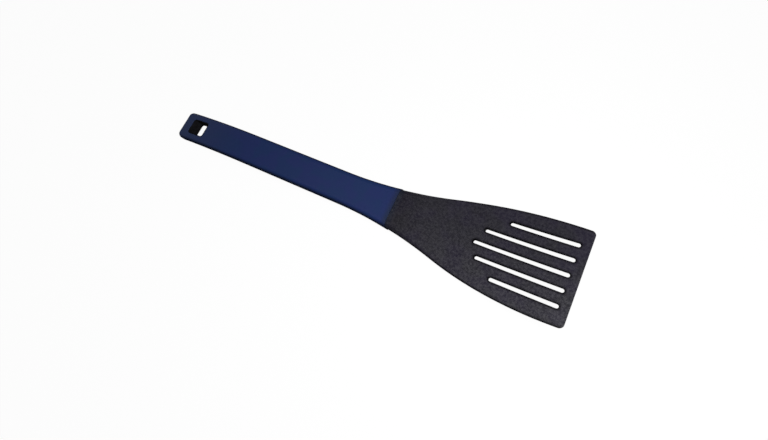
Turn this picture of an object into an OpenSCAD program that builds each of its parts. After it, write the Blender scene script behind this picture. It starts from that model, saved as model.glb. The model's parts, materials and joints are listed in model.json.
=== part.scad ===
// Slotted kitchen turner: a black head with a tang, a moulded handle core and a soft navy sleeve.
// Everything is drawn along X with the tip edge at x = 0, the blade's flat underside at z = 0 and
// the handle towards -X. A place along the tool is its distance behind the tip edge, in mm.
// The finished pieces are then laid down together the way the tool rests on a table.

/* [Blade] */
// Greatest width of the blade
blade_w = 64.3; // [54:0.1:80]
// Distance behind the tip edge of the widest place
widest_back = 20.4; // [10:0.1:40]
// Plan radius of the blade's bulging sides
side_r = 260; // [200:1:400]
// Plan radius of the hollow flare between blade and handle
flare_r = 300; // [200:1:400]
// Radius of the two corners of the tip
tip_corner_r = 2.8; // [1:0.1:8]
// Thickness of the blade at its tip edge
tip_t = 0.8; // [0.6:0.1:1.6]
// Thickness of the blade at the back of the longest slot
rear_t = 2.6; // [1.8:0.1:4]
// Length of the black head in front of the sleeve
head_l = 124.2; // [110:0.1:140]

/* [Slots] */
// Width of each slot
slot_w = 2.5; // [1.5:0.1:5]
// Distance between the centre lines of neighbouring slots
slot_pitch = 10; // [8:0.1:12]
// Distance from the tip edge to the front end of the slots
slot_front = 5.8; // [4:0.1:10]
// Length of the slot on the centre line
centre_slot_l = 60.3; // [30:0.1:70]
// Length of the slots next to it
middle_slot_l = 55.7; // [30:0.1:70]
// Length of the two outer slots
outer_slot_l = 42.3; // [20:0.1:60]

/* [Handle] */
// Length of the whole tool along the blade's underside
overall_l = 328.8; // [300:0.1:360]
// Width of the handle
handle_w = 25.4; // [22:0.1:32]
// Thickness of the handle
handle_t = 9.4; // [8:0.1:14]
// Radius of the long edges of the handle
edge_r = 3.6; // [2:0.1:4.5]
// Radius of the two corners at the end of the handle, seen from above
end_corner_r = 3.4; // [2.6:0.1:8]
// Radius of the end's upper and lower edges, seen from the side
end_r = 2.5; // [2.3:0.1:3.5]
// Height by which the sleeve stands proud of the black neck
neck_step = 0.4; // [0.2:0.05:1]
// Depth of the swelling under the sleeve's front edge
lip_t = 1.4; // [0.4:0.1:2.5]
// Length over which that swelling fades out
lip_l = 15; // [8:1:40]

/* [Bend] */
// Distance behind the tip edge where the underside starts to curve up
heel_back = 8.3; // [5:0.1:20]
// Radius of that upward curve
heel_r = 460; // [360:5:600]
// Slope of the straight stretch of the handle against the blade, in degrees
rise_a = 16; // [12:0.1:20]
// Distance behind the tip edge where the handle starts to level out
crest_back = 249.3; // [220:0.1:280]
// Radius of the levelling curve
crest_r = 395; // [300:1:600]

/* [Inner joint] */
// Thickness of the sleeve around the core
skin_t = 1.8; // [1.2:0.1:2.2]
// Length of the tang behind the sleeve's front edge
tang_l = 66; // [40:1:90]
// Width of the tang
tang_w = 13; // [10:0.5:15]
// Thickness of the tang
tang_t = 2.8; // [2:0.1:3.2]
// Radius of the corners at the end of the tang
tang_corner_r = 3; // [1:0.1:4]
// Diameter of the two holes in the tang that the core is moulded through
key_d = 5; // [3:0.1:7]
// Distance from the sleeve's front edge to the first key hole
key_front = 20; // [12:1:26]
// Distance between the two key holes
key_pitch = 28; // [20:1:34]

/* [Hanging hole] */
// Length of the hole along the handle
hole_l = 17.7; // [12:0.1:24]
// Width of the hole
hole_w = 12.6; // [8:0.1:16]
// Corner radius of the hole
hole_r = 2; // [1:0.1:4]
// Width of the black collar that lines the hole
rim_w = 0.6; // [0.4:0.1:1.2]
// Depth of the collar's faces below the middle of the sleeve's faces
rim_sink = 0.2; // [0.1:0.05:0.5]
// Distance of the hole's centre in front of the handle's end
hole_front = 20.3; // [17:0.1:40]

/* [Hidden] */
$fn = 48;
// Steps of a rounded corner, and of the long stretches of head and handle
corner_steps = 5;
head_steps = 20;
handle_steps = 32;
// How far cuts run past what they cut, and how far the tang is rooted in the neck
overrun = 5;
tang_root = 12;
// Largest edge radius, as a share of the thickness there
edge_share = 0.45;

// Sagitta of an arc of radius r at distance d from its crown
function drop(r, d) = r - sqrt(max(0, r * r - d * d));
// Setback of a rounded corner of radius r at distance d into the corner
function setback(r, d) = d <= 0 ? 0 : drop(r, min(d, r));
function limited(u) = min(1, max(0, u));
function eased(u) = u * u * (3 - 2 * u);

// Plan outline: a bulging arc and a hollow arc that meet where both have the same slope
flare_a = acos(1 - (blade_w - handle_w) / 2 / (side_r + flare_r));
bulge_end = widest_back + side_r * sin(flare_a);
flare_end = bulge_end + flare_r * sin(flare_a);
function plan_half(s) =
    s < bulge_end ? blade_w / 2 - drop(side_r, s - widest_back) :
    s < flare_end ? handle_w / 2 + drop(flare_r, flare_end - s) :
    handle_w / 2;

// Side profile: flat blade, upward heel curve, straight rise, levelling curve
rise_back = heel_back + heel_r * sin(rise_a);
rise_z = drop(heel_r, rise_back - heel_back);
crest_z = rise_z + (crest_back - rise_back) * tan(rise_a);
crown_back = crest_back + crest_r * sin(rise_a);
function under_z(s) =
    s < heel_back ? 0 :
    s < rise_back ? drop(heel_r, s - heel_back) :
    s < crest_back ? rise_z + (s - rise_back) * tan(rise_a) :
    crest_z + drop(crest_r, crown_back - crest_back) - drop(crest_r, s - crown_back);
function slope_a(s) =
    s < heel_back ? 0 :
    s < rise_back ? asin((s - heel_back) / heel_r) :
    s < crest_back ? rise_a :
    asin((crown_back - s) / crest_r);

// Thickness: a thin taper along the slots, easing into the handle
slots_back = slot_front + centre_slot_l;
function taper_t(s) = tip_t + (rear_t - tip_t) * s / slots_back;
function neck_share(s) = eased(limited((s - slots_back) / (head_l - slots_back)));
function body_t(s) = taper_t(s) + (handle_t - taper_t(s)) * neck_share(s);
function middle_z(s) = under_z(s) + body_t(s) / 2;
// The sleeve's underside swells down at its front edge
function lip_z(s) = lip_t * (1 - eased(limited((s - head_l) / lip_l)));

// Cross section at s: a rounded rectangle drawn in by inset and smaller at the rounded ends,
// whose underside is lowered by sag
function half_w(s, inset) = plan_half(s) - inset
    - setback(tip_corner_r, tip_corner_r - s)
    - setback(end_corner_r - inset, s - overall_l + end_corner_r);
function half_t(s, inset) = body_t(s) / 2 - inset - setback(end_r - inset, s - overall_l + end_r);
function ring(s, inset, sag) =
    let (w = half_w(s, inset), t = half_t(s, inset))
    let (r = min(edge_r - inset / 2, 2 * t * edge_share))
    [for (k = [0:3], i = [0:corner_steps])
        let (a = 90 * (k + i / corner_steps))
        let (side = k == 0 || k == 3 ? 1 : -1, edge_z = k < 2 ? t - r : r - t - sag)
        [-s, side * (w - r) + r * cos(a), middle_z(s) + edge_z + r * sin(a)]];
ring_n = 4 * (corner_steps + 1);

// The neck draws in gently, so that the sleeve stands proud of it
function head_inset(s) = neck_step * neck_share(s);

// Places of the cross sections
head_places = concat(
    [for (i = [0:corner_steps]) tip_corner_r * (1 - cos(90 * i / corner_steps))],
    [for (i = [1:head_steps]) tip_corner_r + (head_l - tip_corner_r) * i / head_steps]);
end_corner = overall_l - end_corner_r;
sleeve_long = [for (i = [0:handle_steps]) head_l + (end_corner - head_l) * i / handle_steps];
function handle_places(inset) = concat(
    sleeve_long,
    [for (i = [1:corner_steps]) end_corner + (end_corner_r - inset) * sin(90 * i / corner_steps)]);

// Triangles between rings first and last of a list, and the two end faces
function side_faces(first, rings) =
    [for (i = [0:rings - 2], j = [0:ring_n - 1], half = [0, 1])
        let (a = first + i * ring_n + j, b = first + i * ring_n + (j + 1) % ring_n)
        half == 0 ? [a, b, b + ring_n] : [a, b + ring_n, a + ring_n]];
function ring_face(first) = [for (j = [0:ring_n - 1]) first + j];
function turned(faces) = [for (f = faces) [for (i = [len(f) - 1:-1:0]) f[i]]];
function flat(lists) = [for (l = lists, item = l) item];

module solid_body(places, insets) {
    rings = [for (i = [0:len(places) - 1]) ring(places[i], insets[i], 0)];
    last = (len(places) - 1) * ring_n;
    sides = side_faces(0, len(places));
    polyhedron(
        points = flat(rings),
        faces = concat(sides, turned([ring_face(0)]), [ring_face(last)]));
}

// A closed-ended sleeve: outer skin, inner skin and the ring between them at the open front
module hollow_body(outer_places, inner_places, wall) {
    outer = [for (s = outer_places) ring(s, 0, lip_z(s))];
    inner = [for (s = inner_places) ring(s, wall, 0)];
    inner_start = len(outer) * ring_n;
    inner_last = inner_start + (len(inner) - 1) * ring_n;
    front = [for (j = [0:ring_n - 1], half = [0, 1])
        let (k = (j + 1) % ring_n)
        half == 0 ? [j, inner_start + k, k] : [j, inner_start + j, inner_start + k]];
    polyhedron(
        points = concat(flat(outer), flat(inner)),
        faces = concat(
            side_faces(0, len(outer)),
            [ring_face(inner_start - ring_n)],
            turned(side_faces(inner_start, len(inner))),
            turned([ring_face(inner_last)]),
            front));
}

// Rest: the tool leans on the lower edge of its end and on the lowest place of its underside
end_back = overall_l - end_r;
end_low_z = under_z(overall_l) + end_r;
end_high_z = under_z(overall_l) + handle_t - end_r;
function lean_a(s, low_z) =
    let (run = end_back - s, rise = end_low_z - low_z)
    atan2(rise, run) - asin(end_r / norm([run, rise]));
rest_a = max(
    max([for (s = head_places) lean_a(s, under_z(s) + head_inset(s))]),
    max([for (s = sleeve_long) lean_a(s, under_z(s) - lip_z(s))]));
rest_lift = end_back * sin(rest_a) - end_low_z * cos(rest_a) + end_r;
// The origin lies under the middle of the laid-down tool's length
laid_l = end_back * cos(rest_a) + end_high_z * sin(rest_a) + end_r;

module laid_down() {
    translate([laid_l / 2, 0, rest_lift])
        rotate([0, -rest_a, 0])
            children();
}

// Puts children on the handle's middle line at s, with X along the handle and Z square to it
module on_handle(s) {
    translate([-s, 0, middle_z(s)])
        rotate([0, slope_a(s), 0])
            children();
}

module round_rect(l, w, r) {
    square([l - 2 * r, w], center = true);
    square([l, w - 2 * r], center = true);
    for (x = [-1, 1], y = [-1, 1])
        translate([x * (l / 2 - r), y * (w / 2 - r)])
            circle(r);
}

module slot(l) {
    translate([-slot_front - l / 2, 0, -overrun])
        linear_extrude(middle_z(slots_back) + handle_t + overrun) {
            square([l - slot_w, slot_w], center = true);
            for (x = [-1, 1])
                translate([x * (l - slot_w) / 2, 0])
                    circle(d = slot_w);
        }
}

module slots() {
    lengths = [outer_slot_l, middle_slot_l, centre_slot_l, middle_slot_l, outer_slot_l];
    last = len(lengths) - 1;
    for (i = [0:last])
        translate([0, (i - last / 2) * slot_pitch, 0])
            slot(lengths[i]);
}

// The tang runs straight along the middle of the handle, from inside the neck
tang_middle = head_l + tang_l * cos(rise_a) / 2;
module tang() {
    on_handle(tang_middle)
        difference() {
            translate([tang_root / 2, 0, -tang_t / 2])
                linear_extrude(tang_t)
                    round_rect(tang_l + tang_root, tang_w, tang_corner_r);
            for (i = [0, 1])
                translate([tang_l / 2 - key_front - i * key_pitch, 0, -tang_t / 2 - overrun])
                    cylinder(h = tang_t + 2 * overrun, d = key_d);
        }
}

hole_back = overall_l - hole_front;
module hole_block(wall, h) {
    on_handle(hole_back)
        translate([0, 0, -h / 2])
            linear_extrude(h)
                round_rect(hole_l + 2 * wall, hole_w + 2 * wall, hole_r + wall);
}

module blade() {
    color([0.19, 0.19, 0.21])
        laid_down() {
            difference() {
                solid_body(head_places, [for (s = head_places) head_inset(s)]);
                slots();
            }
            tang();
        }
}

module handle_core() {
    core_places = handle_places(skin_t);
    color([0.08, 0.08, 0.09])
        laid_down()
            difference() {
                union() {
                    solid_body(core_places, [for (s = core_places) skin_t]);
                    hole_block(rim_w, handle_t - 2 * rim_sink);
                }
                hole_block(0, handle_t + 2 * overrun);
                tang();
            }
}

module grip() {
    color([0.13, 0.17, 0.31])
        laid_down()
            difference() {
                hollow_body(handle_places(0), handle_places(skin_t), skin_t);
                hole_block(rim_w, handle_t + 2 * overrun);
            }
}

blade();
handle_core();
grip();
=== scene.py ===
# A slotted kitchen turner: a dark speckled head and a curved handle in a soft navy sleeve.
import collections
import json
import math

import bmesh
import bpy
from mathutils import Matrix, Vector


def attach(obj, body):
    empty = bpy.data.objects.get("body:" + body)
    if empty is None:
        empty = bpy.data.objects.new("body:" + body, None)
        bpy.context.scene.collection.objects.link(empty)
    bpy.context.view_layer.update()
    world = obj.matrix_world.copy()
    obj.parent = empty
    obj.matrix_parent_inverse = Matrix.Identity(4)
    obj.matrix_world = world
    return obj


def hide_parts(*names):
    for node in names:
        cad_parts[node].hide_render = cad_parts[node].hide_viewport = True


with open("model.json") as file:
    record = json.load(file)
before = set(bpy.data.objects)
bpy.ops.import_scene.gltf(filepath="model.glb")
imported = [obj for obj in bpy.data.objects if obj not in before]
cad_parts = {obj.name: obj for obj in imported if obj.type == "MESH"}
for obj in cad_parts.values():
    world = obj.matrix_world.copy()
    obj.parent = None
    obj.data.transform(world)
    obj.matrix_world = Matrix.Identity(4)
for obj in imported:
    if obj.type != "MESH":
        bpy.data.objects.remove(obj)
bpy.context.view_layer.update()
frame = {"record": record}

# The sizes below are in millimetres, and the frame is in metres.
MM = 0.001

# Blade
BLADE_W = 64.3
WIDEST_BACK = 20.4
SIDE_R = 260
FLARE_R = 300
TIP_CORNER_R = 2.8
TIP_T = 0.8
TIP_SOFT = 0.3
REAR_T = 2.6
HEAD_L = 124.2

# Slots
SLOT_W = 2.5
SLOT_PITCH = 10
SLOT_FRONT = 5.8
SLOT_LENGTHS = (42.3, 55.7, 60.3, 55.7, 42.3)
SLOT_SOFT = 0.3

# Handle
OVERALL_L = 328.8
HANDLE_W = 25.4
HANDLE_T = 9.4
EDGE_R = 3.6
EDGE_SHARE = 0.45
END_CORNER_R = 3.4
END_R = 2.5
NECK_STEP = 0.4
LIP_T = 1.4
LIP_L = 15
FRONT_SOFT = 0.35

# Bend
HEEL_BACK = 8.3
HEEL_R = 460
RISE = math.radians(16)
CREST_BACK = 249.3
CREST_R = 395

# Inner joint
SKIN_T = 1.8
TANG_L = 66
TANG_W = 13
TANG_T = 2.8
TANG_CORNER_R = 3
TANG_ROOT = 12
KEY_D = 5
KEY_COUNT = 2
KEY_FRONT = 20
KEY_PITCH = 28

# Hanging hole
HOLE_L = 17.7
HOLE_W = 12.6
HOLE_R = 2
RIM_W = 0.6
RIM_SINK = 0.2
HOLE_FRONT = 20.3
HOLE_SOFT = 0.3
COLLAR_SOFT = 0.1

# Mesh: the longest spaces between its lines along the tool, across it and along the tang, the
# turn between the lines of a rounding, and the bands between a sheet's middle and its long edges
STEP_BACK = 2.5
STEP_ACROSS = 3
STEP_TANG = 5
STEP_TURN = math.radians(15)
EDGE_BANDS = 6
TINY = 1e-4

# Rounding over: the bend at which an edge counts as sharp, the faces across its rounding, and the
# room along and across the tool that is searched past a hole or a border
SHARP = math.radians(60)
SOFT_STEPS = 3
ROOM_BACK = 2
ROOM_ACROSS = 0.5

# How much a face's size counts in the shading of its corners, as a percentage
SIZE_WEIGHT = 80
RIGHT_ANGLE = math.radians(90)


def drop(r, d):
    """How far an arc of radius r has fallen at the distance d from its crown."""
    return r - math.sqrt(max(0.0, r * r - d * d))


def setback(r, d):
    """How far a rounded corner of radius r stands back at the depth d."""
    return 0.0 if d <= 0 else drop(r, min(d, r))


def limited(u):
    """A share, held between 0 and 1."""
    return min(1.0, max(0.0, u))


def eased(u):
    """A share that leaves 0 and reaches 1 gently."""
    u = limited(u)
    return u * u * (3 - 2 * u)


# Plan: a bulging arc and a hollow arc that meet where both have the same slope
FLARE_A = math.acos(1 - (BLADE_W - HANDLE_W) / 2 / (SIDE_R + FLARE_R))
BULGE_END = WIDEST_BACK + SIDE_R * math.sin(FLARE_A)
FLARE_END = BULGE_END + FLARE_R * math.sin(FLARE_A)


def plan_half(back):
    """Half the tool's width at a place behind the tip edge."""
    if back < BULGE_END:
        return BLADE_W / 2 - drop(SIDE_R, back - WIDEST_BACK)
    if back < FLARE_END:
        return HANDLE_W / 2 + drop(FLARE_R, FLARE_END - back)
    return HANDLE_W / 2


# Side view: a flat tip, an upward heel curve, a straight rise and a levelling curve
RISE_BACK = HEEL_BACK + HEEL_R * math.sin(RISE)
RISE_UP = drop(HEEL_R, RISE_BACK - HEEL_BACK)
CREST_UP = RISE_UP + (CREST_BACK - RISE_BACK) * math.tan(RISE)
CROWN_BACK = CREST_BACK + CREST_R * math.sin(RISE)
CROWN_UP = CREST_UP + drop(CREST_R, CROWN_BACK - CREST_BACK)


def under(back):
    """Height of the underside over the flat of the blade."""
    if back < HEEL_BACK:
        return 0.0
    if back < RISE_BACK:
        return drop(HEEL_R, back - HEEL_BACK)
    if back < CREST_BACK:
        return RISE_UP + (back - RISE_BACK) * math.tan(RISE)
    return CROWN_UP - drop(CREST_R, back - CROWN_BACK)


def slope(back):
    """Slope of the underside in radians, positive where it rises away from the tip."""
    if back < HEEL_BACK:
        return 0.0
    if back < RISE_BACK:
        return math.asin((back - HEEL_BACK) / HEEL_R)
    if back < CREST_BACK:
        return RISE
    return math.asin((CROWN_BACK - back) / CREST_R)


SLOTS_BACK = SLOT_FRONT + max(SLOT_LENGTHS)


def neck_share(back):
    """How far the blade has turned into the neck: 0 along the slots, 1 at the border."""
    return eased((back - SLOTS_BACK) / (HEAD_L - SLOTS_BACK))


def body_t(back):
    """Thickness of the tool: a thin taper along the slots that eases into the handle."""
    taper = TIP_T + (REAR_T - TIP_T) * back / SLOTS_BACK
    return taper + (HANDLE_T - taper) * neck_share(back)


def middle(back):
    """Height of the middle of the tool's thickness over the flat of the blade."""
    return under(back) + body_t(back) / 2


# The frame's record gives the place of the blade's flat underside at FACE_BACK behind the tip edge,
# and its lean. They lay the whole tool down.
FACE_BACK = 3
face = next(m for m in frame["record"]["mounts"] if m["name"] == "blade_face")
lean = Matrix.Rotation(-math.asin(face["axis"][0]), 4, "Y")
face_shift = Vector(face["pos_m"]) - lean @ Vector((-FACE_BACK * MM, 0, 0))
REST = Matrix.Translation(face_shift) @ lean @ Matrix.Scale(MM, 4)


def laid(back, across, up):
    """The place in the frame of a point behind the tip edge, across and above the blade's flat."""
    return REST @ Vector((-back, across, up))


def on_handle(back, lean_there):
    """A frame on the handle's middle line whose X axis points to the tip and slopes down to it."""
    turn = Matrix.Rotation(lean_there, 4, "Y")
    return REST @ Matrix.Translation((-back, 0, middle(back))) @ turn


# A sheet is drawn on a flat chart: x is the place behind the tip edge and y the place across, in mm.
# Up to keep, y is the place itself, squeezed where the tool is narrow. From keep to flat it is
# spread out to the rounded long edge, and past flat it counts that edge's quarter turn, from 0 to 1.
# The inset is the sheet's depth under the tool's skin.
Sheet = collections.namedtuple("Sheet", "keep flat inset")
HEAD_SHEET = Sheet(keep=22, flat=25, inset=0)
SLEEVE_SHEET = Sheet(keep=8, flat=9, inset=0)
CORE_SHEET = Sheet(keep=7.4, flat=8, inset=SKIN_T)

# A hole is a rectangle on the chart, with its middle, its sizes and the radius of its corners.
Hole = collections.namedtuple("Hole", "back across length width radius")
HOLE_BACK = OVERALL_L - HOLE_FRONT
HOLE_LEAN = slope(HOLE_BACK)
OPENING = Hole(HOLE_BACK, 0, HOLE_L, HOLE_W, HOLE_R)
MOUTH = Hole(HOLE_BACK, 0, HOLE_L + 2 * RIM_W, HOLE_W + 2 * RIM_W, HOLE_R + RIM_W)
SLOTS = []
for k, slot_length in enumerate(SLOT_LENGTHS):
    slot_across = (k - (len(SLOT_LENGTHS) - 1) / 2) * SLOT_PITCH
    SLOTS.append(Hole(SLOT_FRONT + slot_length / 2, slot_across, slot_length, SLOT_W, SLOT_W / 2))


def skin_point(sheet, back, across, side):
    """A point of a sheet's chart on the tool's upper face (side 1) or lower face (side -1)."""
    inset = sheet.inset + (NECK_STEP * neck_share(back) if sheet is HEAD_SHEET else 0)
    # The lines near the hanging hole lean with its walls.
    leaning = eased((back - HEAD_L) / (HOLE_BACK - HEAD_L - HOLE_L))
    leaning *= eased((OVERALL_L - END_CORNER_R - back) / END_CORNER_R)
    if sheet is not HEAD_SHEET:
        back -= side * leaning * math.sin(HOLE_LEAN) * (HANDLE_T / 2 - sheet.inset)
    half_w = plan_half(back) - inset
    half_w -= setback(TIP_CORNER_R, TIP_CORNER_R - back)
    half_w -= setback(END_CORNER_R - inset, back - OVERALL_L + END_CORNER_R)
    half_t = body_t(back) / 2 - inset
    half_t -= setback(TIP_SOFT, TIP_SOFT - back)
    half_t -= setback(END_R - inset, back - OVERALL_L + END_R)
    edge_r = min(EDGE_R - inset / 2, 2 * half_t * EDGE_SHARE)
    flat_w = half_w - edge_r
    squeeze = min(1, flat_w / sheet.flat)
    kept = min(abs(across), sheet.keep) * squeeze
    spread = limited((abs(across) - sheet.keep) / (sheet.flat - sheet.keep))
    turn = RIGHT_ANGLE * limited(abs(across) - sheet.flat)
    out = kept + (flat_w - sheet.keep * squeeze) * spread + edge_r * math.sin(turn)
    up = side * (half_t - edge_r + edge_r * math.cos(turn))
    return laid(back, math.copysign(out, across), middle(back) + up)


def corner_lines(centre, size, radius):
    """The chart lines that a hole with rounded corners needs along one axis."""
    steps = round(RIGHT_ANGLE / 2 / STEP_TURN)
    shares = [math.tan(STEP_TURN * k) for k in range(steps + 1)]
    return [centre + way * (size / 2 - radius + radius * s) for way in (-1, 1) for s in shares]


def quarter_turn():
    """The shares of a quarter turn at which a rounding has its lines."""
    steps = round(RIGHT_ANGLE / STEP_TURN)
    return [k / steps for k in range(steps + 1)]


def filled(marks, step):
    """The marks in order, with each gap between them divided evenly into short steps."""
    marks = sorted(marks)
    lines = [marks[0]]
    for mark in marks[1:]:
        start = lines[-1]
        gap = mark - start
        if gap > TINY:
            parts = math.ceil(gap / step - TINY)
            lines += [start + gap * (k + 1) / parts for k in range(parts)]
    return lines


def long_lines(sheet, marks):
    """The chart's lines across a sheet, from one long edge to the other."""
    band = (sheet.flat - sheet.keep) / EDGE_BANDS
    half = [abs(m) for m in marks] + [0] + [sheet.keep + k * band for k in range(EDGE_BANDS)]
    half += [sheet.flat + share for share in quarter_turn()]
    return filled([way * m for m in half for way in (-1, 1)], STEP_ACROSS)


def chart(backs, acrosses, holes):
    """A flat grid with lines at the given places and the holes cut out of it."""
    bm = bmesh.new()
    spans = (len(backs) - 1, len(acrosses) - 1)
    bmesh.ops.create_grid(bm, x_segments=spans[0], y_segments=spans[1], size=0.5)
    for v in bm.verts:
        v.co.x = backs[round((v.co.x + 0.5) * spans[0])]
        v.co.y = acrosses[round((v.co.y + 0.5) * spans[1])]
    for hole in holes:
        inside = [f for f in bm.faces if within(hole, f.calc_center_median())]
        bmesh.ops.delete(bm, geom=inside, context="FACES")
        round_off(bm, hole)
    return bm


def within(hole, place):
    """Whether a place on a chart lies inside the hole's rectangle."""
    beyond_x = abs(place.x - hole.back) - hole.length / 2
    beyond_y = abs(place.y - hole.across) - hole.width / 2
    return max(beyond_x, beyond_y) < TINY


def round_off(bm, hole):
    """Moves the points on a rectangle's corners on to its corner arcs."""
    for v in bm.verts:
        x, y = v.co.x - hole.back, v.co.y - hole.across
        past = Vector((abs(x) - hole.length / 2, abs(y) - hole.width / 2))
        corner = past + Vector((hole.radius, hole.radius))
        if abs(max(past)) < TINY and min(corner) > TINY:
            arc = corner.normalized() * hole.radius
            v.co.x += math.copysign(1, x) * (arc.x - corner.x)
            v.co.y += math.copysign(1, y) * (arc.y - corner.y)


def new_points(grown):
    """The points that an extrusion has made."""
    return [v for v in grown["geom"] if isinstance(v, bmesh.types.BMVert)]


def thicken(bm):
    """Gives a chart a lower face at z 0 and an upper face at z 1, with walls between them."""
    grown = bmesh.ops.extrude_face_region(bm, geom=bm.faces[:])
    for v in new_points(grown):
        v.co.z = 1
    bmesh.ops.recalc_face_normals(bm, faces=bm.faces[:])


def is_wall(face):
    """Whether a face of a thickened chart stands upright."""
    return abs(face.normal.z) < 0.5


def drape(bm, sheet):
    """Lays a thickened chart round the tool."""
    for v in bm.verts:
        v.co = skin_point(sheet, v.co.x, v.co.y, 1 if v.co.z > 0.5 else -1)
    bmesh.ops.recalc_face_normals(bm, faces=bm.faces[:])


def chart_place(v):
    """Where a point of a finished mesh lies behind the tip edge and across."""
    spot = REST.inverted() @ v.co
    return Vector((-spot.x, spot.y, 0))


def soften(bm, area, width):
    """Rounds over the sharp edges inside an area of the tool."""
    bm.normal_update()
    sharp = [e for e in bm.edges if e.calc_face_angle(0) > SHARP]
    edges = [e for e in sharp if all(within(area, chart_place(v)) for v in e.verts)]
    bmesh.ops.bevel(
        bm, geom=edges, offset=width * MM, offset_type="OFFSET", affect="EDGES",
        segments=SOFT_STEPS, profile=0.5, material=-1, clamp_overlap=False)


def as_object(bm, name):
    """Puts a finished mesh into the scene."""
    mesh = bpy.data.meshes.new(name)
    bm.to_mesh(mesh)
    bm.free()
    made = bpy.data.objects.new(name, mesh)
    bpy.context.scene.collection.objects.link(made)
    return made


def combined(bm, other, operation):
    """One mesh joined with another (UNION), or with the other cut out of it (DIFFERENCE)."""
    body, tool = as_object(bm, "body"), as_object(other, "tool")
    change = body.modifiers.new("change", "BOOLEAN")
    change.operation = operation
    change.object = tool
    bpy.context.view_layer.update()
    result = bmesh.new()
    result.from_object(body, bpy.context.evaluated_depsgraph_get())
    for spare in (body, tool):
        bpy.data.meshes.remove(spare.data)
    return result


def beyond(hole, back, across):
    """How far a place lies outside a rounded hole."""
    past = (abs(back - hole.back) - hole.length / 2, abs(across - hole.across) - hole.width / 2)
    corner = Vector([max(0, p + hole.radius) for p in past])
    return corner.length + min(0, max(past) + hole.radius) - hole.radius


def note_surface(bm, holes, wall_lean):
    """Stores how far each point lies behind the tip edge and in from the nearest other edge."""
    behind = bm.verts.layers.float.new("behind")
    margin = bm.verts.layers.float.new("margin")
    for v in bm.verts:
        spot = REST.inverted() @ v.co
        back, across = -spot.x, spot.y
        through = back + (spot.z - middle(back)) * math.tan(wall_lean)
        edges = [OVERALL_L - back, plan_half(back) - abs(across)]
        edges += [beyond(hole, through, across) for hole in holes]
        v[behind] = back
        v[margin] = max(0, min(edges))


def shown(bm, name, material, node, holes, wall_lean):
    """Makes a piece of a finished mesh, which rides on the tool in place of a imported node."""
    note_surface(bm, holes, wall_lean)
    for e in bm.edges:
        e.smooth = e.calc_face_angle(0) < SHARP
    piece = as_object(bm, name)
    piece.data.polygons.foreach_set("use_smooth", [True] * len(piece.data.polygons))
    piece.data.materials.append(material)
    weighted = piece.modifiers.new("weighted", "WEIGHTED_NORMAL")
    weighted.weight = SIZE_WEIGHT
    weighted.keep_sharp = True
    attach(piece, "root")
    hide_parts(node)


def tang():
    """The flat tang behind the neck, with its key holes and rounded corners."""
    outline = Hole(-TANG_ROOT / 2, 0, TANG_L + TANG_ROOT, TANG_W, TANG_CORNER_R)
    keys = []
    for k in range(KEY_COUNT):
        keys.append(Hole(KEY_FRONT + k * KEY_PITCH - TANG_L / 2, 0, KEY_D, KEY_D, KEY_D / 2))
    backs, acrosses = [], []
    for hole in [outline] + keys:
        backs += corner_lines(hole.back, hole.length, hole.radius)
        acrosses += corner_lines(hole.across, hole.width, hole.radius)
    bm = chart(filled(backs, STEP_TANG), filled(acrosses, STEP_ACROSS), keys)
    round_off(bm, outline)
    thicken(bm)
    half_way = HEAD_L + TANG_L * math.cos(RISE) / 2
    place = on_handle(half_way, slope(half_way))
    for v in bm.verts:
        v.co = place @ Vector((-v.co.x, v.co.y, (v.co.z - 0.5) * TANG_T))
    bmesh.ops.recalc_face_normals(bm, faces=bm.faces[:])
    return bm


def head():
    """The blade with its slots, the neck and the tang."""
    rounding = [1 - math.cos(RIGHT_ANGLE * t) for t in quarter_turn()]
    backs = [r * share for r in (TIP_CORNER_R, TIP_SOFT) for share in rounding] + [HEAD_L]
    acrosses = []
    for slot in SLOTS:
        backs += corner_lines(slot.back, slot.length, slot.radius)
        acrosses += corner_lines(slot.across, slot.width, slot.radius)
    bm = chart(filled(backs, STEP_BACK), long_lines(HEAD_SHEET, acrosses), SLOTS)
    thicken(bm)
    drape(bm, HEAD_SHEET)
    slotted = Hole(SLOTS_BACK / 2, 0, SLOTS_BACK, SLOT_PITCH * len(SLOT_LENGTHS), 0)
    soften(bm, slotted, SLOT_SOFT)
    return combined(bm, tang(), "UNION")


def handle_chart(sheet):
    """The handle's chart, with the mouth of the hanging hole cut out of it."""
    rounding = [math.sin(RIGHT_ANGLE * t) for t in quarter_turn()]
    end_r = END_CORNER_R - sheet.inset
    backs = [HEAD_L] + [OVERALL_L - END_CORNER_R + end_r * share for share in rounding]
    backs += corner_lines(MOUTH.back, MOUTH.length, MOUTH.radius)
    acrosses = corner_lines(MOUTH.across, MOUTH.width, MOUTH.radius)
    return chart(filled(backs, STEP_BACK), long_lines(sheet, acrosses), [MOUTH])


def round_mouth(bm, width):
    """Rounds over the sharp edges of the hanging hole, whose walls lean."""
    reach = (MOUTH.length + 2 * ROOM_BACK, MOUTH.width + 2 * ROOM_ACROSS)
    soften(bm, Hole(MOUTH.back, 0, *reach, 0), width)


def swell(points):
    """Lowers the sleeve's underside towards its front edge, at the given points."""
    for v in points:
        spot = REST.inverted() @ v.co
        if spot.z < middle(-spot.x):
            spot.z -= LIP_T * (1 - eased((-spot.x - HEAD_L) / LIP_L))
            v.co = REST @ spot


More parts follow.
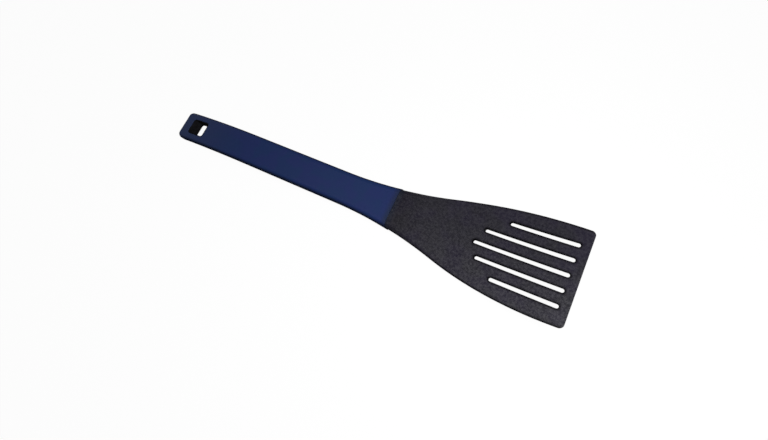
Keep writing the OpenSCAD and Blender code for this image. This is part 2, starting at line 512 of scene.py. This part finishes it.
def sleeve():
    """The soft sleeve, a hollow skin with a hole in its upper and its lower face."""
    bm = handle_chart(SLEEVE_SHEET)
    thicken(bm)
    open_walls = []
    for f in bm.faces:
        spot = f.calc_center_median()
        if is_wall(f) and (spot.x < HEAD_L + TINY or within(MOUTH, spot)):
            open_walls.append(f)
    drape(bm, SLEEVE_SHEET)
    bmesh.ops.delete(bm, geom=open_walls, context="FACES")
    outer = bm.verts[:]
    bmesh.ops.solidify(bm, geom=bm.faces[:], thickness=SKIN_T * MM)
    swell(outer)
    bmesh.ops.recalc_face_normals(bm, faces=bm.faces[:])
    round_mouth(bm, HOLE_SOFT)
    soften(bm, Hole(HEAD_L, 0, 2 * SKIN_T, HANDLE_W + 2 * ROOM_ACROSS, 0), FRONT_SOFT)
    return bm


def core():
    """The moulded core under the sleeve, with a collar round the hanging hole."""
    bm = handle_chart(CORE_SHEET)
    # A lid over the mouth, set in and taken out again, leaves a ring of faces for the collar.
    lip = [e for e in bm.edges if e.is_boundary and all(within(MOUTH, v.co) for v in e.verts)]
    lid = bmesh.ops.contextual_create(bm, geom=lip)["faces"]
    bmesh.ops.inset_region(bm, faces=lid, thickness=RIM_W, use_even_offset=True)
    bmesh.ops.delete(bm, geom=lid, context="FACES")
    thicken(bm)
    collar = []
    for f in bm.faces:
        if not is_wall(f) and within(MOUTH, f.calc_center_median()):
            collar.append(f)
    drape(bm, CORE_SHEET)
    grown = bmesh.ops.extrude_face_region(bm, geom=collar)
    bmesh.ops.delete(bm, geom=collar, context="FACES")
    square = on_handle(HOLE_BACK, HOLE_LEAN)
    for v in new_points(grown):
        spot = square.inverted() @ v.co
        spot.z = math.copysign(HANDLE_T / 2 - RIM_SINK, spot.z)
        v.co = square @ spot
    bmesh.ops.recalc_face_normals(bm, faces=bm.faces[:])
    round_mouth(bm, COLLAR_SOFT)
    return combined(bm, tang(), "DIFFERENCE")


def tone(red, green, blue):
    """A colour from its display values, 0 to 255, by the usual display curve."""
    shares = [value / 255 for value in (red, green, blue)]
    return (*[s / 12.92 if s < 0.04045 else ((s + 0.055) / 1.055) ** 2.4 for s in shares], 1)


# Nylon: its colours, the strength of its flecks, and the neck's stretch of painted shade and duller
# shine next to the sleeve
NYLON = tone(28, 27, 33)
NYLON_VIOLET = tone(28, 25, 37)
NYLON_FLECK = tone(42, 40, 48)
NYLON_PAINTED_SHADE = tone(10, 9, 11)
FLECK_SHARE = 0.3
NECK_REACH = 24
NECK_SHADE_AND_DULL = 0.4

# Sleeve: its colours, and how far in front of the hanging hole it starts to turn greyer towards the
# end
NAVY = tone(24, 41, 81)
NAVY_VIOLET = tone(27, 39, 83)
NAVY_PAINTED_SHADE = tone(20, 26, 46)
NAVY_END_GREY = tone(37, 48, 80)
FADE_L = 70

# Border: the tint that head and sleeve share where they meet
BORDER_TINT = tone(27, 34, 50)
BORDER_REACH = 5
BORDER_SHARE = 0.7

# Core: its black, and two lighter blacks of painted light on the shaded walls of the hanging hole
BLACK = tone(12, 12, 13)
BLACK_PAINTED_LIGHT = tone(28, 27, 29)
BLACK_PAINTED_LIGHT_PALE = tone(36, 35, 38)

# Ripples in the lines of the rims and of the border: their sizes, and how far they stray
RIM_RIPPLE = 2.5
RIM_STRAY = 0.2
BORDER_RIPPLE = 4
BORDER_STRAY = 0.5


def put(tree, kind, sockets=None, **settings):
    """Adds a node, with links or values for its input sockets."""
    made = tree.nodes.new(kind)
    for name, value in settings.items():
        setattr(made, name, value)
    for key, value in (sockets or {}).items():
        if isinstance(value, bpy.types.NodeSocket):
            tree.links.new(value, made.inputs[key])
        else:
            made.inputs[key].default_value = value
    return made


def sums(tree, operation, *values):
    """The result of a Math node."""
    return put(tree, "ShaderNodeMath", dict(enumerate(values)), operation=operation).outputs[0]


def varied(tree, share, low, high):
    """A value that is low where the share is 0 and high where it is 1."""
    return sums(tree, "MULTIPLY_ADD", share, high - low, low)


def eased_range(tree, value, low, high):
    """0 below the low mark, 1 above the high mark and a smooth step between them."""
    marks = {"Value": value, "From Min": low, "From Max": high}
    return put(tree, "ShaderNodeMapRange", marks, interpolation_type="SMOOTHSTEP").outputs[0]


def blend(tree, share, first, second):
    """A mix of two colours. Their sockets go by number, because a Mix node repeats its names."""
    mixer = put(tree, "ShaderNodeMix", {0: share, 6: first, 7: second}, data_type="RGBA")
    return mixer.outputs[2]


def new_group(name, inputs, output):
    """A node group: its tree, what its inputs give inside it, and the socket of its output."""
    tree = bpy.data.node_groups.new(name, "ShaderNodeTree")
    for label, default in inputs.items():
        kind = "NodeSocketVector" if label == "Place" else "NodeSocketFloat"
        socket = tree.interface.new_socket(label, in_out="INPUT", socket_type=kind)
        if default is not None:
            socket.default_value = default
    tree.interface.new_socket(output, in_out="OUTPUT", socket_type="NodeSocketFloat")
    start = tree.nodes.new("NodeGroupInput")
    return tree, start.outputs, tree.nodes.new("NodeGroupOutput").inputs[0]


def per_metre(tree, size):
    """The texture scale that gives a pattern the size in millimetres."""
    return sums(tree, "DIVIDE", 1 / MM, size)


def patches_group(name, size, detail, roughness):
    """Soft-edged patches, from 0 to 1. A high roughness breaks them up into specks."""
    inputs = {"Place": None, "Size": size, "Softness": 0.15}
    tree, given, result = new_group(name, inputs, "Patch")
    noise = put(tree, "ShaderNodeTexNoise", {
        "Vector": given["Place"], "Scale": per_metre(tree, given["Size"]),
        "Detail": detail, "Roughness": roughness})
    low = sums(tree, "SUBTRACT", 0.5, given["Softness"])
    high = sums(tree, "ADD", 0.5, given["Softness"])
    tree.links.new(eased_range(tree, noise.outputs["Fac"], low, high), result)
    return tree


def grain_group():
    """The fine texture of a moulded surface, as a height around 0.5."""
    inputs = {"Place": None, "Size": 0.5, "Roughness": 0.6}
    tree, given, result = new_group("moulded_grain", inputs, "Height")
    noise = put(tree, "ShaderNodeTexNoise", {
        "Vector": given["Place"], "Scale": per_metre(tree, given["Size"]),
        "Detail": 3, "Roughness": given["Roughness"]})
    tree.links.new(noise.outputs["Fac"], result)
    return tree


def surface_note(tree, name):
    """A distance in millimetres that note_surface has stored on the piece."""
    return put(tree, "ShaderNodeAttribute", attribute_name=name).outputs["Fac"]


def nearness(tree, place, distance, reach, ripple, stray):
    """1 at no distance and 0 a reach away, along a line that ripples."""
    sockets = {"Vector": place, "Scale": 1 / (ripple * MM), "Detail": 2}
    noise = put(tree, "ShaderNodeTexNoise", sockets).outputs["Fac"]
    rippled = sums(tree, "ADD", distance, varied(tree, noise, -stray, stray))
    return sums(tree, "SUBTRACT", 1, eased_range(tree, rippled, 0, reach))


def rims_group():
    """The edges of a piece: 1 on its edges, 0 where it is Width millimetres away from them."""
    tree, given, result = new_group("rims", {"Place": None, "Width": 1.5}, "Rim")
    margin = surface_note(tree, "margin")
    rim = nearness(tree, given["Place"], margin, given["Width"], RIM_RIPPLE, RIM_STRAY)
    tree.links.new(rim, result)
    return tree


def border_group():
    """The border between head and sleeve: 1 on it, 0 where it is Reach millimetres away."""
    tree, given, result = new_group("border", {"Place": None, "Reach": 3}, "Near")
    away = sums(tree, "ABSOLUTE", sums(tree, "SUBTRACT", surface_note(tree, "behind"), HEAD_L))
    near = nearness(tree, given["Place"], away, given["Reach"], BORDER_RIPPLE, BORDER_STRAY)
    tree.links.new(near, result)
    return tree


SPECKLE = patches_group("speckle", size=1.5, detail=2, roughness=0.7)
CLOUDS = patches_group("clouds", size=20, detail=1.5, roughness=0.5)
GRAIN, RIMS, BORDER = grain_group(), rims_group(), border_group()


def effect(tree, group, place, **values):
    """Places a node group, and gives its output."""
    sockets = {label.capitalize(): value for label, value in values.items()}
    sockets["Place"] = place
    return put(tree, "ShaderNodeGroup", sockets, node_tree=group).outputs[0]


def tinted(tree, colour, place):
    """A colour with the border's tint blended into it near the border."""
    near = sums(tree, "MULTIPLY", effect(tree, BORDER, place, reach=BORDER_REACH), BORDER_SHARE)
    return blend(tree, near, colour, BORDER_TINT)


def new_material(name):
    """A material, its node tree, its shader and the place on the piece."""
    material = bpy.data.materials.new(name)
    material.use_nodes = True
    tree = material.node_tree
    place = tree.nodes.new("ShaderNodeTexCoord").outputs["Object"]
    return material, tree, tree.nodes["Principled BSDF"], place


def finish(tree, shader, colour, roughness, height, depth):
    """Wires a colour, a roughness and a bump to the shader. The depth is in millimetres."""
    bump = put(tree, "ShaderNodeBump", {"Height": height, "Distance": depth * MM})
    tree.links.new(colour, shader.inputs["Base Color"])
    tree.links.new(roughness, shader.inputs["Roughness"])
    tree.links.new(bump.outputs[0], shader.inputs["Normal"])
    shader.inputs["Specular IOR Level"].default_value = 0


def satin_skin(tree, shader, dull_and_painted_shade, shine, roughness):
    """Wires a thin satin coat to the shader that fades out where the piece is dull and has painted
    shade.
    """
    kept = sums(tree, "SUBTRACT", 1, dull_and_painted_shade)
    tree.links.new(sums(tree, "MULTIPLY", kept, shine), shader.inputs["Coat Weight"])
    shader.inputs["Coat Roughness"].default_value = roughness


def speckled_nylon():
    """The head's dark nylon, with a fine speckle that shines a little more than the rest, and
    painted shade on its rims and on the neck next to the sleeve.
    """
    material, tree, shader, place = new_material("speckled_nylon")
    colour = blend(tree, effect(tree, CLOUDS, place, size=14, softness=0.15), NYLON, NYLON_VIOLET)
    speckle = effect(tree, SPECKLE, place, size=1.6, softness=0.2)
    colour = blend(tree, sums(tree, "MULTIPLY", speckle, FLECK_SHARE), colour, NYLON_FLECK)
    colour = tinted(tree, colour, place)
    # Painted shade: near the sleeve and on the rims the colour darkens towards the shade colour, and
    # the coat fades there.
    neck = sums(tree, "MULTIPLY", effect(tree, BORDER, place, reach=NECK_REACH), NECK_SHADE_AND_DULL)
    dull_and_painted_shade = sums(tree, "MAXIMUM", neck, effect(tree, RIMS, place, width=2))
    colour = blend(tree, dull_and_painted_shade, colour, NYLON_PAINTED_SHADE)
    grain = effect(tree, GRAIN, place, size=0.7, roughness=0.6)
    relief = sums(tree, "ADD", grain, speckle)
    finish(tree, shader, colour, varied(tree, grain, low=0.2, high=0.4), relief, depth=0.03)
    shine = varied(tree, speckle, low=0.09, high=0.31)
    satin_skin(tree, shader, dull_and_painted_shade, shine, roughness=0.3)
    return material


def soft_navy():
    """The sleeve's soft navy skin, with painted shade on its rims, and a little greyer at the
    handle's end.
    """
    material, tree, shader, place = new_material("soft_navy")
    colour = blend(tree, effect(tree, CLOUDS, place, size=12, softness=0.1), NAVY, NAVY_VIOLET)
    towards_end = eased_range(tree, surface_note(tree, "behind"), HOLE_BACK - FADE_L, OVERALL_L)
    colour = tinted(tree, blend(tree, towards_end, colour, NAVY_END_GREY), place)
    # Painted shade on the rims, where the rounded edges turn away from the light; the coat fades
    # there too.
    rim = effect(tree, RIMS, place, width=2.3)
    colour = blend(tree, rim, colour, NAVY_PAINTED_SHADE)
    grain = effect(tree, GRAIN, place, size=0.4, roughness=0.5)
    finish(tree, shader, colour, varied(tree, grain, low=0.25, high=0.4), grain, depth=0.02)
    satin_skin(tree, shader, rim, shine=0.12, roughness=0.4)
    return material


def black_core():
    """The core's black plastic, with painted light, paler in patches, on the shaded walls of the
    hanging hole.
    """
    material, tree, shader, place = new_material("black_core")
    patch = effect(tree, CLOUDS, place, size=3, softness=0.2)
    # Painted light: the walls of the hanging hole lie in shade, so they get lighter blacks than the
    # lit collar top.
    painted_light = blend(tree, patch, BLACK_PAINTED_LIGHT, BLACK_PAINTED_LIGHT_PALE)
    wall = effect(tree, RIMS, place, width=0.5)
    colour = blend(tree, wall, BLACK, painted_light)
    grain = effect(tree, GRAIN, place, size=0.6, roughness=0.6)
    finish(tree, shader, colour, varied(tree, grain, low=0.4, high=0.6), grain, depth=0.03)
    return material


shown(head(), "head", speckled_nylon(), "blade", SLOTS, 0)
shown(core(), "core", black_core(), "handle_core", [OPENING], HOLE_LEAN)
shown(sleeve(), "sleeve", soft_navy(), "grip", [], HOLE_LEAN)

# Stage: a white table, a white surround and two broad soft lamps, in metres and watts
TABLE_HALF = 3
TABLE_BOUNCE = (0.35, 0.35, 0.35, 1)
WHITE = (1, 1, 1, 1)
SURROUND = (0.12, 0.12, 0.12, 1)
SHADOW_SHARE = 0.05
Lamp = collections.namedtuple("Lamp", "name place width power")
FRONT_LAMP = Lamp("front", place=(0.2, -0.03, 0.27), width=0.2, power=0.88)
REAR_LAMP = Lamp("rear", place=(-0.224, 0, 0.752), width=0.45, power=1.78)
LIT_PLACE = (0.05, 0, 0)

# Camera: its place and nearest view in metres, its turn in degrees and its lens in millimetres
EYE = (0.107474, -0.051977, 0.236262)
EYE_TURN = (15.9592, 10.6665, 25.7617)
LENS = 15.7085
NEAREST = 0.01


def where_seen(tree):
    """1 for the rays that should meet a white background: seen, mirrored and let through."""
    path = tree.nodes.new("ShaderNodeLightPath").outputs
    mirrored = sums(tree, "MAXIMUM", path["Is Glossy Ray"], path["Is Transmission Ray"])
    return sums(tree, "MAXIMUM", path["Is Camera Ray"], mirrored)


def table():
    """The table, which bounces grey light and shows white, with a trace of the tool's shadow."""
    bm = bmesh.new()
    bmesh.ops.create_grid(bm, x_segments=1, y_segments=1, size=TABLE_HALF)
    top = as_object(bm, "table")
    material = bpy.data.materials.new("white_table")
    material.use_nodes = True
    tree = material.node_tree
    tree.nodes.remove(tree.nodes["Principled BSDF"])
    seen = where_seen(tree)
    matt_colour = blend(tree, seen, TABLE_BOUNCE, WHITE)
    matt = put(tree, "ShaderNodeBsdfDiffuse", {"Color": matt_colour}).outputs[0]
    bright = put(tree, "ShaderNodeEmission", {"Color": WHITE}).outputs[0]
    share = sums(tree, "MULTIPLY", seen, 1 - SHADOW_SHARE)
    surface = put(tree, "ShaderNodeMixShader", {0: share, 1: matt, 2: bright}).outputs[0]
    tree.links.new(surface, tree.nodes["Material Output"].inputs["Surface"])
    top.data.materials.append(material)


def surround():
    """The room's dim light, which shows white."""
    world = bpy.data.worlds.new("surround")
    world.use_nodes = True
    tree = world.node_tree
    dim = tree.nodes["Background"]
    dim.inputs["Color"].default_value = SURROUND
    white = put(tree, "ShaderNodeBackground", {"Color": WHITE}).outputs[0]
    sockets = {0: where_seen(tree), 1: dim.outputs[0], 2: white}
    surface = put(tree, "ShaderNodeMixShader", sockets).outputs[0]
    tree.links.new(surface, tree.nodes["World Output"].inputs["Surface"])
    bpy.context.scene.world = world


def light_up(lamp):
    """A round soft lamp that points at the tool."""
    light = bpy.data.lights.new(lamp.name, "AREA")
    light.shape = "DISK"
    light.size = lamp.width
    light.energy = lamp.power
    made = bpy.data.objects.new(lamp.name, light)
    made.location = lamp.place
    aim = Vector(LIT_PLACE) - Vector(lamp.place)
    made.rotation_euler = aim.to_track_quat("-Z", "Y").to_euler()
    bpy.context.scene.collection.objects.link(made)


def camera():
    """The camera that sees the tool as the photograph does."""
    lens = bpy.data.cameras.new("camera")
    lens.lens = LENS
    lens.clip_start = NEAREST
    eye = bpy.data.objects.new("camera", lens)
    eye.location = EYE
    eye.rotation_euler = [math.radians(a) for a in EYE_TURN]
    bpy.context.scene.collection.objects.link(eye)
    bpy.context.scene.camera = eye


table()
surround()
light_up(FRONT_LAMP)
light_up(REAR_LAMP)
camera()
bpy.context.scene.view_settings.view_transform = "Standard"
